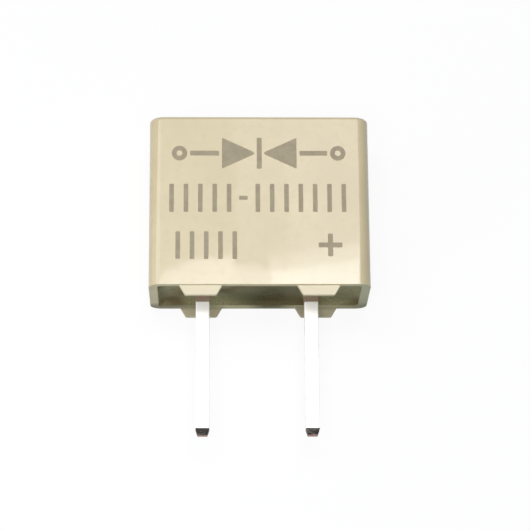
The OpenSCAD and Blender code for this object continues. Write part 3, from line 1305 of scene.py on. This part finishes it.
@dataclass
class Studio:
    """A white table under soft lamps, with the photograph's camera.

    The shadow is how much of the table's shading shows beside its even white.
    """

    table_size: float = 4000.0
    table_gap: float = 0.02
    table_colour: str = "#FFFFFF"
    bounce_colour: str = "#9EA6A8"
    shadow: Reach = Reach((1, 1, 1), (90.0, 25.0), full=0.1)
    sky_colour: str = "#DDEEFF"
    sky_level: float = 0.11
    lamps: tuple[SoftBox, ...] = (
        SoftBox("key_box_left", (-20.97, 24.79, 124), (38, 24), 6.6, 4.7),
        SoftBox("key_box_right", (11.96, 26.98, 124), (28, 23.2), 6.6, 4.7),
        SoftBox("hot_box", (24, 27.36, 123), (36, 26), 3.2, 4.7),
        SoftBox("back_box_left", (-13.93, 57.95, 124), (20, 42), 1.9, 4.7),
        SoftBox("back_box_middle", (2.02, 59.26, 124), (12, 42), 2.6, 4.7),
        SoftBox("back_box_right", (23.95, 61.06, 124), (32, 42), 3.3, 4.7),
        SoftBox("left_box", (-69, 45, 124), (90, 40), 3.2, 7.5),
        SoftBox("side_box", (-120, 0, 64), (120, 100), 0.6, 0.0, -63.0),
        SoftBox("low_box", (-12, -45, 115), (70, 40), 5.8),
        SoftBox("near_box", (-34, -26, 16), (16, 12), 8.0, 37.4, -69.5),
        SoftBox("front_right_box", (66, -84, 30), (60, 40), 1.0, 128.2, -74.3, "#E9FFEE",
                mirrored=False),
    )

    def set_up(self) -> None:
        """Build the table, the sky, the lamps and the camera."""
        self.lay_table()
        self.light_sky()
        for lamp in self.lamps:
            lamp.hang()
        Camera().place()

    @staticmethod
    def seen(tree: Tree) -> Socket:
        """Tell rays that see the background apart from those that carry its light.

        Args:
            tree: The node tree that needs to know.

        Returns:
            A socket that is 1 for camera, glossy and transmission rays.
        """
        path = add_node(tree, "ShaderNodeLightPath")
        pair = add_node(tree, "ShaderNodeMath", {"operation": "MAXIMUM"}, {
            0: path.outputs["Is Camera Ray"], 1: path.outputs["Is Glossy Ray"]})
        return add_node(tree, "ShaderNodeMath", {"operation": "MAXIMUM"}, {
            0: pair.outputs["Value"], 1: path.outputs["Is Transmission Ray"],
        }).outputs["Value"]

    def lay_table(self) -> None:
        """Lay the pale table: it looks white, keeps a soft shadow and bounces some light."""
        clear_bench()
        bpy.ops.mesh.primitive_plane_add(size=self.table_size * MM,
                                         location=(0, 0, -self.table_gap * MM))
        table = bpy.context.active_object
        table.name = "table"
        paper = bpy.data.materials.new("matt_white_paper")
        tree = empty_tree(paper)
        shaded = add_node(tree, "ShaderNodeBsdfDiffuse", {"Color": linear(self.table_colour)})
        white = add_node(tree, "ShaderNodeEmission", {"Strength": 1.0})
        place = add_node(tree, "ShaderNodeTexCoord").outputs["Object"]
        looks = add_node(tree, "ShaderNodeMixShader", links={
            0: self.shadow.share(tree, place), 1: white.outputs["Emission"],
            2: shaded.outputs["BSDF"]})
        bounce = add_node(tree, "ShaderNodeBsdfDiffuse", {"Color": linear(self.bounce_colour)})
        both = add_node(tree, "ShaderNodeMixShader", links={
            0: self.seen(tree), 1: bounce.outputs["BSDF"], 2: looks.outputs["Shader"]})
        add_node(tree, "ShaderNodeOutputMaterial", links={"Surface": both.outputs["Shader"]})
        table.data.materials.append(paper)

    def light_sky(self) -> None:
        """Make the sky look white and give the part a weak, even light."""
        world = bpy.data.worlds.new("studio_air")
        bpy.context.scene.world = world
        tree = empty_tree(world)
        light = add_node(tree, "ShaderNodeBackground", {
            "Color": linear(self.sky_colour), "Strength": self.sky_level})
        white = add_node(tree, "ShaderNodeBackground", {"Color": (1, 1, 1, 1)})
        both = add_node(tree, "ShaderNodeMixShader", links={
            0: self.seen(tree), 1: light.outputs["Background"],
            2: white.outputs["Background"]})
        add_node(tree, "ShaderNodeOutputWorld", links={"Surface": both.outputs["Shader"]})


def main() -> None:
    """Build and dress each sub-assembly, then the studio."""
    logging.basicConfig(level=logging.INFO, format="%(name)s %(message)s")
    bpy.context.scene.view_settings.view_transform = "Standard"
    CaseShell().build()
    resin = CastEpoxy().material()
    dress_node(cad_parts["potting"], resin)
    ResinMeniscus().build(resin, ThinEpoxy().material())
    metals = [metal.material() for metal in (BrightTin(), CoinedTip(), ShearedAlloy())]
    for pole in Pole:
        Pin(pole).build(metals)
    FaceMarking().build()
    SealedCircuit().dress()
    Studio().set_up()


if __name__ == "__main__":
    main()
